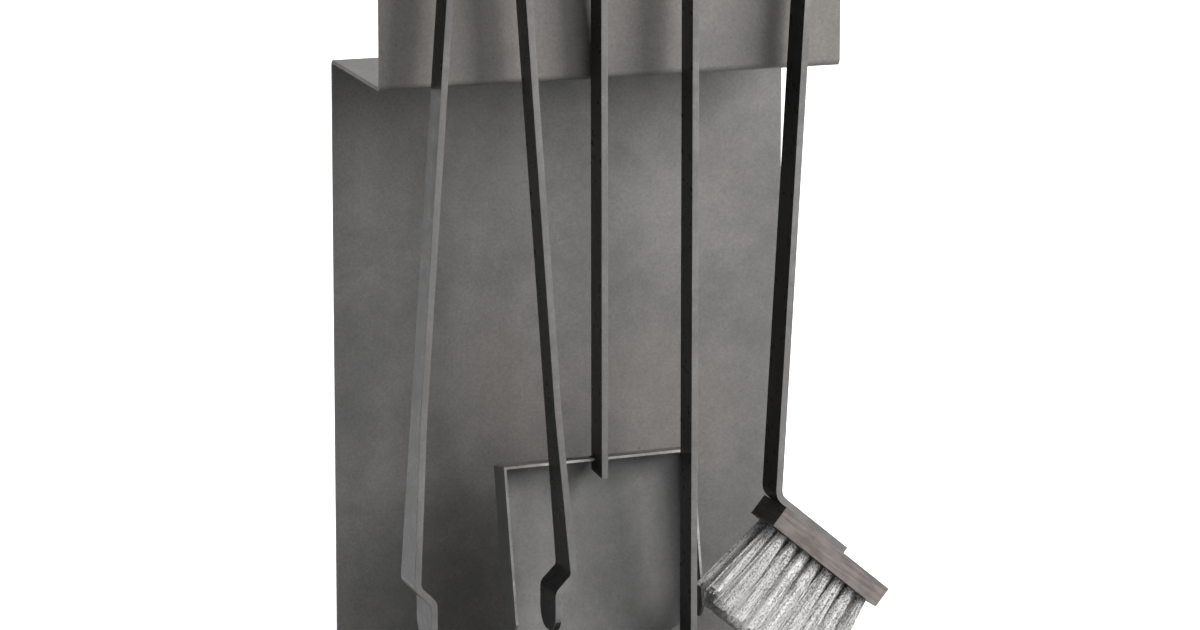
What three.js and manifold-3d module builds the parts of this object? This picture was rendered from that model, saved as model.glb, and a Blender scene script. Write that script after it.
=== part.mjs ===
// Fireplace tool set: a stand folded from one steel sheet, with tongs, shovel, poker and brush on four pegs.
// Units are millimetres. +X is right, +Y is back, +Z is up. The origin is on the floor, under the middle
// of the stand's foot.

import * as THREE from 'three';
import { mergeVertices } from 'three/addons/utils/BufferGeometryUtils.js';
import Module from 'manifold-3d';

const wasm = await Module();
wasm.setup();

// ---------------------------------------------------------------- driving sizes

const GAP = 0.3; // between pieces that touch
const RUNNING_GAP = 0.5; // between pieces that turn on each other

// stand
const SHEET_WIDTH = 350;
const SHEET_THICKNESS = 3;
const SHEET_BEND_RADIUS = 4; // to the middle of the sheet
const FOOT_DEPTH = 200;
const SHELF_HEIGHT = 482; // floor to the shelf's underside
const SHELF_DEPTH = 125; // front face to front face
const UPPER_HEIGHT = 178; // shelf's underside to the top edge

// flat bar that all four tools are bent from
const BAR_DEPTH = 25;
const BAR_THICKNESS = 5;

// pegs
const PEG_HEIGHT = 140; // above the shelf's underside
const SPOOL_RADIUS = 6;
const SPOOL_FLANGE_RADIUS = 10;
const SPOOL_FLANGE = 3;
const SPOOL_GROOVE = 38; // room between the two flanges
const SHOULDER_RADIUS = 4;
const THREAD_RADIUS = 3;
const THREAD_SPARE = 2.5; // thread that shows past the nut
const SCREW_HEAD_RADIUS = 8;
const SCREW_HEAD = 4;
const SOCKET_RADIUS = 3;
const SOCKET_DEPTH = 2.2;
const WASHER_RADIUS = 7;
const WASHER_THICKNESS = 1.6;
const NUT_RADIUS = 5.8; // across the corners, halved
const NUT_HEIGHT = 5;

// crook that hangs a bar on its peg
const CROOK_RADIUS = 11; // inside
const CROOK_LEG = 14;
const NECK_DROP = 25; // crook's centre to the top of the neck's jog
const NECK_JOG = 20; // height of the jog
const CROOK_BEND_RADIUS = 8;

// tongs
const TONGS_X = -104.7;
const TONGS_STANDOFF = 14; // clear of the stand's front face
const BOW_RADIUS = 25.5; // to the middle of the bar
const ARM_SPREAD = 4; // degrees from upright
const ARM_LENGTH = 481; // bow to jog
const JOG = 12; // across, and down
const JAW_LENGTH = 31;
const JAW_DEPTH = 37;
const JAW_NOSE_RADIUS = 15;
const FLARE_LENGTH = 120; // of the arm's lower end, where it widens to the jaw
const ARM_BEND_RADIUS = 7;

// shovel
const SHOVEL_X = -9.5;
const SHOVEL_OFFSET = -8.2; // peg to the straight bar's line, so that the tool's weight is under the peg
const SHOVEL_STANDOFF = 10;
const SHOVEL_LEAN_BACK = 3.7;
const SHOVEL_LEAN_RIGHT = 1.28;
const SHOVEL_HANDLE_LENGTH = 424; // peg to the pan's back wall
const SHOVEL_STUB = 12; // handle inside the pan
const PAN_WIDTH = 146;
const PAN_HEIGHT = 26;
const PAN_SHEET = 2;
const PAN_WALL_LENGTH = 125;
const PAN_WALL_CHAMFER = 9;
const PAN_BASE_LENGTH = 135; // back wall to the lip's fold
const PAN_LIP_LENGTH = 18;
const PAN_LIP_BEND = 15;
const PAN_TILT = 13.7; // from the handle's line
const PAN_NOSE_WIDTH = 104; // at the lip's fold
const PAN_LIP_WIDTH = 70; // at the lip's end
const HANDLE_PROUD = 14; // of the pan's walls

// poker
const POKER_X = 49.8;
const POKER_OFFSET = 0;
const POKER_STANDOFF = 15;
const POKER_LENGTH = 605; // peg to the tip
const POKER_POINT = 34;
const POKER_POINT_DEPTH = 6;
const BARB_HEIGHT = 22; // tip to the barb's weld
const BARB_REACH = 27;
const BARB_RISE = 24;
const BARB_THICKNESS = 4;
const BARB_DEPTH = 10;

// brush
const BRUSH_X = 133.3;
const BRUSH_OFFSET = 8.1;
const BRUSH_STANDOFF = 9;
const BRUSH_LEAN = 3.1;
const BRUSH_TURN = 4.5;
const BRUSH_BAR_LENGTH = 452.8; // peg to the bend
const BRUSH_LEG_LENGTH = 71;
const BRUSH_LEG_SLOPE = 37; // below level
const BRUSH_BEND_RADIUS = 11;
const BLOCK_LENGTH = 109.6;
const BLOCK_THICKNESS = 16.6;
const BLOCK_DEPTH = 40;
const BLOCK_START = 6; // bend to the block's end
const BRISTLE_LENGTH = 76;
const BRISTLE_MARGIN = 4; // block's edge to the bristles
const BRISTLE_FAN = 6; // how much further the tips reach at each end
const BRISTLE_WORN = 20; // tip corner worn away
const LEG_SCREW_RADIUS = 2;
const LEG_SCREW_HEAD = 2; // sunk at 45 degrees, flush with the bar
const LEG_SCREW_LENGTH = 13;
const LEG_SCREW_PLACES = [22, 58]; // along the leg from the bend

// ---------------------------------------------------------------- worked out from them

const FOOT_BACK = FOOT_DEPTH / 2;
const FRONT_FACE = FOOT_BACK - SHEET_THICKNESS - SHELF_DEPTH;
const PEG_Z = SHELF_HEIGHT + PEG_HEIGHT;
const HANG_TOP = SPOOL_RADIUS + GAP; // from the peg's centre to the underside of what hangs on it
const CROOK_CENTRE = HANG_TOP - CROOK_RADIUS;
const BOW_CENTRE = HANG_TOP + BAR_THICKNESS / 2 - BOW_RADIUS;
const CROOK_LINE = CROOK_RADIUS + BAR_THICKNESS / 2;
const SPOOL_LENGTH = SPOOL_GROOVE + 2 * SPOOL_FLANGE;
const SHOULDER_LENGTH = SPOOL_LENGTH + 2 * RUNNING_GAP;
const THREAD_LENGTH = SHEET_THICKNESS + WASHER_THICKNESS + NUT_HEIGHT + 3 * GAP + THREAD_SPARE;
const PEGS = { tongs: TONGS_X, shovel: SHOVEL_X, poker: POKER_X, brush: BRUSH_X };
const ROUND_SIDES = 32;

const STEEL = { color: 0x6a6865, roughness: 0.5, metalness: 0.8 };
const BAR_STEEL = { color: 0x4a4a4a, roughness: 0.45, metalness: 0.8 };
const BRIGHT_STEEL = { color: 0x8c8b88, roughness: 0.35, metalness: 0.9 };
const WOOD = { color: 0x6f6462, roughness: 0.7, metalness: 0 };
const BRISTLE = { color: 0xbdbdba, roughness: 0.9, metalness: 0 };

// ---------------------------------------------------------------- helpers

const radians = (degrees) => THREE.MathUtils.degToRad(degrees);

function solid(geometry) {
  const bare = geometry.clone();
  bare.deleteAttribute('normal');
  bare.deleteAttribute('uv');
  const merged = mergeVertices(bare, 1e-4);
  return new wasm.Manifold(new wasm.Mesh({
    numProp: 3,
    vertProperties: new Float32Array(merged.attributes.position.array),
    triVerts: new Uint32Array(merged.index.array),
  }));
}

function geometryOf(manifold) {
  const { vertProperties, triVerts } = manifold.getMesh();
  const geometry = new THREE.BufferGeometry();
  geometry.setAttribute('position', new THREE.BufferAttribute(new Float32Array(vertProperties), 3));
  geometry.setIndex(new THREE.BufferAttribute(new Uint32Array(triVerts), 1));
  geometry.computeVertexNormals();
  return geometry;
}

const join = (...pieces) => geometryOf(pieces.map(solid).reduce((whole, piece) => whole.add(piece)));
const cut = (body, ...tools) => geometryOf(tools.map(solid).reduce((left, tool) => left.subtract(tool), solid(body)));
const meet = (a, b) => geometryOf(solid(a).intersect(solid(b)));

function mesh(name, geometry, finish) {
  const piece = new THREE.Mesh(geometry, new THREE.MeshStandardMaterial(finish));
  piece.name = name;
  return piece;
}

function group(...pieces) {
  const whole = new THREE.Group();
  whole.add(...pieces);
  return whole;
}

// A shape in the X-Z plane, as deep along Y as `depth`, with its front at y = front.
function extrudeAlongY(points, front, depth) {
  const shape = new THREE.Shape(points);
  const geometry = new THREE.ExtrudeGeometry(shape, { depth, bevelEnabled: false });
  geometry.rotateX(Math.PI / 2);
  geometry.translate(0, front + depth, 0);
  return geometry;
}

// A shape in the Y-Z plane, `width` wide along X, with its left side at x = left.
function extrudeAlongX(points, left, width) {
  const shape = new THREE.Shape(points);
  const geometry = new THREE.ExtrudeGeometry(shape, { depth: width, bevelEnabled: false });
  geometry.rotateX(Math.PI / 2);
  geometry.rotateZ(Math.PI / 2);
  geometry.translate(left, 0, 0);
  return geometry;
}

// A line of points with each inner corner turned into an arc of the given radius.
function roundedLine(corners, radius, steps = 8) {
  const line = [corners[0]];
  for (let i = 1; i < corners.length - 1; i += 1) {
    const corner = corners[i];
    const back = corners[i - 1].clone().sub(corner).normalize();
    const on = corners[i + 1].clone().sub(corner).normalize();
    const half = Math.acos(THREE.MathUtils.clamp(back.dot(on), -1, 1)) / 2;
    const reach = radius / Math.tan(half);
    const centre = corner.clone().add(back.clone().add(on).normalize().multiplyScalar(radius / Math.sin(half)));
    const from = corner.clone().addScaledVector(back, reach).sub(centre);
    const to = corner.clone().addScaledVector(on, reach).sub(centre);
    const sweep = Math.atan2(from.cross(to), from.dot(to));
    for (let step = 0; step <= steps; step += 1) {
      line.push(from.clone().rotateAround(new THREE.Vector2(), (sweep * step) / steps).add(centre));
    }
  }
  line.push(corners[corners.length - 1]);
  return line;
}

// The outline of a strip of even thickness along a line of points.
function stripOutline(line, thickness) {
  const left = [];
  const right = [];
  line.forEach((point, i) => {
    const before = i > 0 ? point.clone().sub(line[i - 1]).normalize() : null;
    const after = i < line.length - 1 ? line[i + 1].clone().sub(point).normalize() : null;
    const along = (before ?? after).clone().add(after ?? before).normalize();
    const lean = before && after ? along.dot(after) : 1;
    const side = new THREE.Vector2(-along.y, along.x).multiplyScalar(thickness / 2 / lean);
    left.push(point.clone().add(side));
    right.push(point.clone().sub(side));
  });
  return left.concat(right.reverse());
}

function arc(centre, radius, startDegrees, endDegrees, steps) {
  return Array.from({ length: steps + 1 }, (_, step) => {
    const turn = radians(startDegrees + ((endDegrees - startDegrees) * step) / steps);
    return new THREE.Vector2(centre.x + radius * Math.cos(turn), centre.y + radius * Math.sin(turn));
  });
}

const at = (x, y) => new THREE.Vector2(x, y);

// A solid of revolution about the Y axis: pairs of radius and distance along -Y.
function turned(profile, sides = ROUND_SIDES) {
  const points = profile.map(([radius, along]) => at(radius, along));
  const geometry = new THREE.LatheGeometry(points, sides);
  geometry.rotateX(Math.PI);
  return geometry;
}

// ---------------------------------------------------------------- stand

function pegHole(x) {
  const length = 4 * SHEET_THICKNESS;
  const hole = new THREE.CylinderGeometry(THREAD_RADIUS + GAP, THREAD_RADIUS + GAP, length, ROUND_SIDES);
  hole.translate(x, FRONT_FACE, PEG_Z);
  return hole;
}

function standSheet() {
  const half = SHEET_THICKNESS / 2;
  const line = roundedLine([
    at(-FOOT_BACK, half),
    at(FOOT_BACK - half, half),
    at(FOOT_BACK - half, SHELF_HEIGHT + half),
    at(FRONT_FACE + half, SHELF_HEIGHT + half),
    at(FRONT_FACE + half, SHELF_HEIGHT + UPPER_HEIGHT),
  ], SHEET_BEND_RADIUS);
  const sheet = extrudeAlongX(stripOutline(line, SHEET_THICKNESS), -SHEET_WIDTH / 2, SHEET_WIDTH);
  return mesh('stand_sheet', cut(sheet, ...Object.values(PEGS).map(pegHole)), STEEL);
}

function shoulderScrew(tool) {
  const shoulder = SHOULDER_LENGTH;
  const body = turned([
    [0, -THREAD_LENGTH],
    [THREAD_RADIUS, -THREAD_LENGTH],
    [THREAD_RADIUS, GAP],
    [SHOULDER_RADIUS, GAP],
    [SHOULDER_RADIUS, shoulder],
    [SCREW_HEAD_RADIUS, shoulder],
    [SCREW_HEAD_RADIUS, shoulder + SCREW_HEAD * 0.6],
    [SCREW_HEAD_RADIUS * 0.8, shoulder + SCREW_HEAD],
    [0, shoulder + SCREW_HEAD],
  ]);
  const socket = new THREE.CylinderGeometry(SOCKET_RADIUS, SOCKET_RADIUS, 2 * SOCKET_DEPTH, 6);
  socket.translate(0, -(shoulder + SCREW_HEAD), 0);
  return mesh(`${tool}_peg_screw`, cut(body, socket), BRIGHT_STEEL);
}

function spool(tool) {
  const bore = SHOULDER_RADIUS + GAP;
  const back = RUNNING_GAP;
  const front = back + SPOOL_LENGTH;
  const geometry = turned([
    [bore, back],
    [SPOOL_FLANGE_RADIUS, back],
    [SPOOL_FLANGE_RADIUS, back + SPOOL_FLANGE],
    [SPOOL_RADIUS, back + SPOOL_FLANGE],
    [SPOOL_RADIUS, front - SPOOL_FLANGE],
    [SPOOL_FLANGE_RADIUS, front - SPOOL_FLANGE],
    [SPOOL_FLANGE_RADIUS, front],
    [bore, front],
    [bore, back],
  ]);
  return mesh(`${tool}_spool`, geometry, BAR_STEEL);
}

function ring(name, outside, thickness, sides, finish) {
  const body = new THREE.CylinderGeometry(outside, outside, thickness, sides);
  const hole = new THREE.CylinderGeometry(THREAD_RADIUS + GAP, THREAD_RADIUS + GAP, 2 * thickness, ROUND_SIDES);
  return mesh(name, cut(body, hole), finish);
}

function peg(tool, x) {
  const washer = ring(`${tool}_washer`, WASHER_RADIUS, WASHER_THICKNESS, ROUND_SIDES, BRIGHT_STEEL);
  const nut = ring(`${tool}_nut`, NUT_RADIUS, NUT_HEIGHT, 6, BRIGHT_STEEL);
  const behind = SHEET_THICKNESS + GAP;
  washer.position.y = behind + WASHER_THICKNESS / 2;
  nut.position.y = behind + WASHER_THICKNESS + GAP + NUT_HEIGHT / 2;
  const whole = group(shoulderScrew(tool), spool(tool), washer, nut);
  whole.position.set(x, FRONT_FACE, PEG_Z);
  return whole;
}

// ---------------------------------------------------------------- tools, each drawn around its peg's centre

// The line of a bar that hangs from a crook, from the crook's tip down to the start of the straight bar,
// which runs at x = offset.
function crookLine(offset) {
  const jogTop = CROOK_CENTRE - NECK_DROP;
  const over = arc(at(0, CROOK_CENTRE), CROOK_LINE, 180, 0, 20);
  const neck = roundedLine([
    over[over.length - 1],
    at(CROOK_LINE, jogTop),
    at(offset, jogTop - NECK_JOG),
    at(offset, jogTop - 2 * NECK_JOG),
  ], CROOK_BEND_RADIUS);
  return [at(-CROOK_LINE, CROOK_CENTRE - CROOK_LEG), ...over, ...neck.slice(1)];
}

function hungBar(name, line, standoff) {
  return mesh(name, extrudeAlongY(stripOutline(line, BAR_THICKNESS), -standoff - BAR_DEPTH, BAR_DEPTH), BAR_STEEL);
}

function tongsBow() {
  const line = arc(at(0, BOW_CENTRE), BOW_RADIUS, 180 - ARM_SPREAD, ARM_SPREAD, 32);
  return hungBar('tongs_bow', line, TONGS_STANDOFF);
}

// One arm, whose own frame starts at the bow's end, with the arm running straight down.
function tongsArm(side) {
  const spread = radians(ARM_SPREAD);
  const elbow = at(0, -ARM_LENGTH);
  const jawTop = at(-JOG, -JOG).rotateAround(at(0, 0), -spread).add(elbow);
  const tip = at(0, -JAW_LENGTH).rotateAround(at(0, 0), -spread).add(jawTop);
  const line = roundedLine([at(0, -RUNNING_GAP), elbow, jawTop, tip], ARM_BEND_RADIUS);
  const back = -TONGS_STANDOFF;
  const front = back - BAR_DEPTH;
  const jawFront = back - JAW_DEPTH;
  const nose = JAW_NOSE_RADIUS;
  const outline = stripOutline(line.map((point) => at(side * point.x, point.y)), BAR_THICKNESS);
  const fromTheSide = extrudeAlongX([
    at(back, 0),
    at(front, 0),
    at(front, elbow.y + FLARE_LENGTH),
    at(jawFront, jawTop.y),
    ...arc(at(jawFront + nose, tip.y + nose), nose, 180, 270, 8),
    ...arc(at(back - nose, tip.y + nose), nose, 270, 360, 8),
  ], -2 * JOG - BAR_THICKNESS, 4 * JOG + 2 * BAR_THICKNESS);
  const arm = meet(extrudeAlongY(outline, jawFront, JAW_DEPTH), fromTheSide);
  const piece = mesh(`tongs_${side < 0 ? 'left' : 'right'}_arm`, arm, BAR_STEEL);
  const bowEnd = at(BOW_RADIUS, 0).rotateAround(at(0, 0), spread);
  piece.position.set(side * bowEnd.x, 0, BOW_CENTRE + bowEnd.y);
  piece.rotation.y = -side * spread;
  return piece;
}

function tongs() {
  return group(tongsBow(), tongsArm(-1), tongsArm(1));
}

function panSheet() {
  const half = PAN_SHEET / 2;
  const wide = PAN_WIDTH / 2;
  const bend = radians(PAN_LIP_BEND);
  const fold = at(PAN_HEIGHT - half, -PAN_BASE_LENGTH);
  const end = at(Math.sin(bend), -Math.cos(bend)).multiplyScalar(PAN_LIP_LENGTH).add(fold);
  const bottom = stripOutline([at(PAN_HEIGHT - half, 0), fold, end], PAN_SHEET);
  const plan = [
    at(wide, 0),
    at(wide, -PAN_WALL_LENGTH),
    at(PAN_NOSE_WIDTH / 2, fold.y),
    at(PAN_LIP_WIDTH / 2, end.y),
  ];
  const mirrored = plan.map((point) => at(-point.x, point.y)).reverse();
  const floor = meet(
    extrudeAlongX(bottom, -wide, PAN_WIDTH),
    extrudeAlongY([...plan, ...mirrored], -PAN_HEIGHT, 3 * PAN_HEIGHT),
  );
  const wall = [
    at(0, 0),
    at(PAN_HEIGHT, 0),
    at(PAN_HEIGHT, -PAN_WALL_LENGTH),
    at(PAN_WALL_CHAMFER, -PAN_WALL_LENGTH),
    at(0, -PAN_WALL_LENGTH + PAN_WALL_CHAMFER),
  ];
  const backWall = [at(-wide, -PAN_SHEET), at(wide, -PAN_SHEET), at(wide, 0), at(-wide, 0)];
  const slot = BAR_THICKNESS / 2 + GAP;
  const slotOutline = [at(-slot, -2 * PAN_SHEET), at(slot, -2 * PAN_SHEET), at(slot, PAN_SHEET), at(-slot, PAN_SHEET)];
  const slotDepth = BAR_DEPTH - HANDLE_PROUD + 4 * GAP;
  return cut(
    join(
      floor,
      extrudeAlongX(wall, -wide, PAN_SHEET),
      extrudeAlongX(wall, wide - PAN_SHEET, PAN_SHEET),
      extrudeAlongY(backWall, 0, PAN_HEIGHT),
    ),
    extrudeAlongY(slotOutline, -slotDepth, 2 * slotDepth),
  );
}

function shovel() {
  const bottom = at(SHOVEL_OFFSET, -SHOVEL_HANDLE_LENGTH - SHOVEL_STUB);
  const handle = hungBar('shovel_handle', [...crookLine(SHOVEL_OFFSET), bottom], SHOVEL_STANDOFF);
  const pan = mesh('shovel_pan', panSheet(), STEEL);
  pan.position.set(SHOVEL_OFFSET, HANDLE_PROUD - SHOVEL_STANDOFF - BAR_DEPTH, -SHOVEL_HANDLE_LENGTH);
  pan.rotation.x = -radians(PAN_TILT);
  return group(handle, pan);
}

function pokerBar() {
  const back = -POKER_STANDOFF;
  const middle = back - BAR_DEPTH / 2;
  const line = [...crookLine(POKER_OFFSET), at(POKER_OFFSET, -POKER_LENGTH)];
  const flat = extrudeAlongY(stripOutline(line, BAR_THICKNESS), back - BAR_DEPTH, BAR_DEPTH);
  const reach = 2 * (CROOK_LINE + BAR_THICKNESS);
  const fromTheSide = extrudeAlongX([
    at(back, reach),
    at(back - BAR_DEPTH, reach),
    at(back - BAR_DEPTH, -POKER_LENGTH + POKER_POINT),
    at(middle - POKER_POINT_DEPTH / 2, -POKER_LENGTH),
    at(middle + POKER_POINT_DEPTH / 2, -POKER_LENGTH),
    at(back, -POKER_LENGTH + POKER_POINT),
  ], -reach, 2 * reach);
  return mesh('poker_bar', meet(flat, fromTheSide), BAR_STEEL);
}

function pokerBarb() {
  const weld = -POKER_LENGTH + BARB_HEIGHT;
  const line = roundedLine([
    at(POKER_OFFSET - BAR_THICKNESS / 2 - GAP, weld),
    at(POKER_OFFSET - BARB_REACH, weld),
    at(POKER_OFFSET - BARB_REACH, weld + BARB_RISE),
  ], BARB_REACH / 2);
  const front = -POKER_STANDOFF - BAR_DEPTH / 2 - BARB_DEPTH / 2;
  return mesh('poker_barb', extrudeAlongY(stripOutline(line, BARB_THICKNESS), front, BARB_DEPTH), BAR_STEEL);
}

function poker() {
  return group(pokerBar(), pokerBarb());
}

// Puts a geometry drawn along the brush's leg, from the bend, where the leg is.
function alongLeg(geometry) {
  geometry.rotateY(radians(BRUSH_LEG_SLOPE));
  geometry.translate(BRUSH_OFFSET, 0, -BRUSH_BAR_LENGTH);
  return geometry;
}

// A round solid square to the leg: pairs of radius and height above the leg's middle line.
function squareToLeg(profile, along) {
  const geometry = turned(profile, ROUND_SIDES / 2);
  geometry.rotateX(-Math.PI / 2);
  geometry.translate(along, -BRUSH_STANDOFF - BAR_DEPTH / 2, 0);
  return alongLeg(geometry);
}

function legHole(along) {
  const radius = LEG_SCREW_RADIUS + GAP;
  const depth = LEG_SCREW_LENGTH + GAP;
  const sink = BAR_THICKNESS / 2 - LEG_SCREW_HEAD - GAP * (Math.SQRT2 - 1);
  return squareToLeg([
    [0, -depth],
    [radius, -depth],
    [radius, sink],
    [radius + BAR_THICKNESS, sink + BAR_THICKNESS],
    [0, sink + BAR_THICKNESS],
  ], along);
}

function legScrew(along, index) {
  const flush = BAR_THICKNESS / 2;
  const geometry = squareToLeg([
    [0, flush - LEG_SCREW_LENGTH],
    [LEG_SCREW_RADIUS, flush - LEG_SCREW_LENGTH],
    [LEG_SCREW_RADIUS, flush - LEG_SCREW_HEAD],
    [LEG_SCREW_RADIUS + LEG_SCREW_HEAD, flush],
    [0, flush],
  ], along);
  return mesh(`brush_screw_${index + 1}`, geometry, BRIGHT_STEEL);
}

function brushBar() {
  const bend = at(BRUSH_OFFSET, -BRUSH_BAR_LENGTH);
  const end = at(BRUSH_LEG_LENGTH, 0).rotateAround(at(0, 0), -radians(BRUSH_LEG_SLOPE)).add(bend);
  const crook = crookLine(BRUSH_OFFSET);
  const leg = roundedLine([crook[crook.length - 1], bend, end], BRUSH_BEND_RADIUS);
  const bar = hungBar('brush_bar', [...crook, ...leg.slice(1)], BRUSH_STANDOFF);
  bar.geometry = cut(bar.geometry, ...LEG_SCREW_PLACES.map(legHole));
  return bar;
}

function brushBlock() {
  const top = -BAR_THICKNESS / 2 - GAP;
  const front = -BRUSH_STANDOFF - BAR_DEPTH / 2 - BLOCK_DEPTH / 2;
  const block = extrudeAlongY([
    at(BLOCK_START, top - BLOCK_THICKNESS),
    at(BLOCK_START + BLOCK_LENGTH, top - BLOCK_THICKNESS),
    at(BLOCK_START + BLOCK_LENGTH, top),
    at(BLOCK_START, top),
  ], front, BLOCK_DEPTH);
  return mesh('brush_block', cut(alongLeg(block), ...LEG_SCREW_PLACES.map(legHole)), WOOD);
}

function brushBristles() {
  const top = -BAR_THICKNESS / 2 - BLOCK_THICKNESS - 2 * GAP;
  const tips = top - BRISTLE_LENGTH;
  const left = BLOCK_START + BRISTLE_MARGIN;
  const right = BLOCK_START + BLOCK_LENGTH - BRISTLE_MARGIN;
  const depth = BLOCK_DEPTH - 2 * BRISTLE_MARGIN;
  const bristles = extrudeAlongY([
    at(left, top),
    at(left - BRISTLE_FAN, tips + BRISTLE_WORN),
    at(left - BRISTLE_FAN + BRISTLE_WORN, tips),
    at(right + BRISTLE_FAN - BRISTLE_WORN, tips),
    at(right + BRISTLE_FAN, tips + BRISTLE_WORN),
    at(right, top),
  ], -BRUSH_STANDOFF - BAR_DEPTH / 2 - depth / 2, depth);
  return mesh('brush_bristles', alongLeg(bristles), BRISTLE);
}

function brush() {
  return group(brushBar(), brushBlock(), brushBristles(), ...LEG_SCREW_PLACES.map(legScrew));
}

// Hangs a tool on its peg, turned about the point over the peg at the middle of the bar's depth. A bar
// that leans back rests on one edge, which holds its middle a little higher.
function hang(tool, x, standoff, leanBack, leanLeft, turn) {
  const middle = -standoff - BAR_DEPTH / 2;
  tool.position.y = -middle;
  const hung = group(tool);
  hung.rotation.set(radians(leanBack), radians(leanLeft), radians(turn), 'YXZ');
  hung.position.set(x, FRONT_FACE + middle, PEG_Z + (BAR_DEPTH / 2) * Math.sin(radians(leanBack)));
  return hung;
}

// ---------------------------------------------------------------- the set

export default group(
  standSheet(),
  ...Object.entries(PEGS).map(([tool, x]) => peg(tool, x)),
  hang(tongs(), TONGS_X, TONGS_STANDOFF, 0, 0, 0),
  hang(shovel(), SHOVEL_X, SHOVEL_STANDOFF, SHOVEL_LEAN_BACK, -SHOVEL_LEAN_RIGHT, 0),
  hang(poker(), POKER_X, POKER_STANDOFF, 0, 0, 0),
  hang(brush(), BRUSH_X, BRUSH_STANDOFF, 0, BRUSH_LEAN, BRUSH_TURN),
);
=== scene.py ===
"""Looks of a fireplace tool set: a folded steel stand with tongs, shovel, poker and hearth brush.

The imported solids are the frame. The steel pieces and the block are copies of the frame's meshes with their
edges rounded. The welds, the sockets in the brush's screws and the brush's tufts are modelled here.
"""

import logging
import math
import random
from dataclasses import dataclass, field
from enum import Enum

import bpy
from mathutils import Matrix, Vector


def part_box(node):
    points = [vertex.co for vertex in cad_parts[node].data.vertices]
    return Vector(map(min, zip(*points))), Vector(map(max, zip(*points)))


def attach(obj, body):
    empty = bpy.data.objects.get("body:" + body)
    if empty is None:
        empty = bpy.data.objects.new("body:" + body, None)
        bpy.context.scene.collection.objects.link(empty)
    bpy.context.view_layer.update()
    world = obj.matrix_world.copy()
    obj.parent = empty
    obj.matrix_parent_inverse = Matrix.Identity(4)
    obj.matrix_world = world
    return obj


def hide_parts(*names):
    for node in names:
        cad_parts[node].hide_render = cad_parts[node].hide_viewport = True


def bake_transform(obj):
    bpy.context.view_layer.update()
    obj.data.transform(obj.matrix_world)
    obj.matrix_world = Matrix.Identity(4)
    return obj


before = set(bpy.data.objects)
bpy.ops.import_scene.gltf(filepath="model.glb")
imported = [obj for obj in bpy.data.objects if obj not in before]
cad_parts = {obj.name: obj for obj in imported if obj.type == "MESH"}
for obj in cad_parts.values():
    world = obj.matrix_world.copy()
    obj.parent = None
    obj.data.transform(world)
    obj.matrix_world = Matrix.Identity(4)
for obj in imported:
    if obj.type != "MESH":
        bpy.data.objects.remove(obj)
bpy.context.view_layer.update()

LOG = logging.getLogger("tool_set")
MM = 0.001
TOOLS = ("tongs", "shovel", "poker", "brush")
WHITE_LEVEL = 255        # a screen's brightest grey
MERGE_WITHIN = 0.02 * MM
FLAT_WITHIN = math.radians(0.6)
SAME_WAY = 0.9           # two unit vectors whose dot product is past this point the same way
MOSTLY = 0.7             # past this, a face looks more along an axis than across it

Colour = tuple[float, float, float, float]


# ---------------------------------------------------------------- colours and named options

def linear(level: float) -> float:
    """Turns a screen level into a linear value, by the standard screen curve.

    Args:
        level: The level, from 0 to 255.

    Returns:
        The value, from 0 to 1.
    """
    share = max(level, 0.0) / WHITE_LEVEL
    return share / 12.92 if share <= 0.04045 else ((share + 0.055) / 1.055) ** 2.4


def grey(level: float, warmth: float = 0.0, green: float = 0.0) -> Colour:
    """Gives a linear colour from a screen grey level.

    Args:
        level: The grey, from 0 to 255.
        warmth: How far red goes up and blue goes down, in the same steps.
        green: How far green goes up.

    Returns:
        Red, green, blue and alpha, linear.
    """
    return (linear(level + warmth), linear(level + green), linear(level - warmth), 1.0)


class Slot(Enum):
    """The record's material slots."""

    SHEET = "sheet_steel"
    BAR = "bar_steel"
    FASTENER = "fastener_steel"
    WOOD = "brush_wood"
    BRISTLE = "bristle"


# ---------------------------------------------------------------- node helpers

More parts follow.
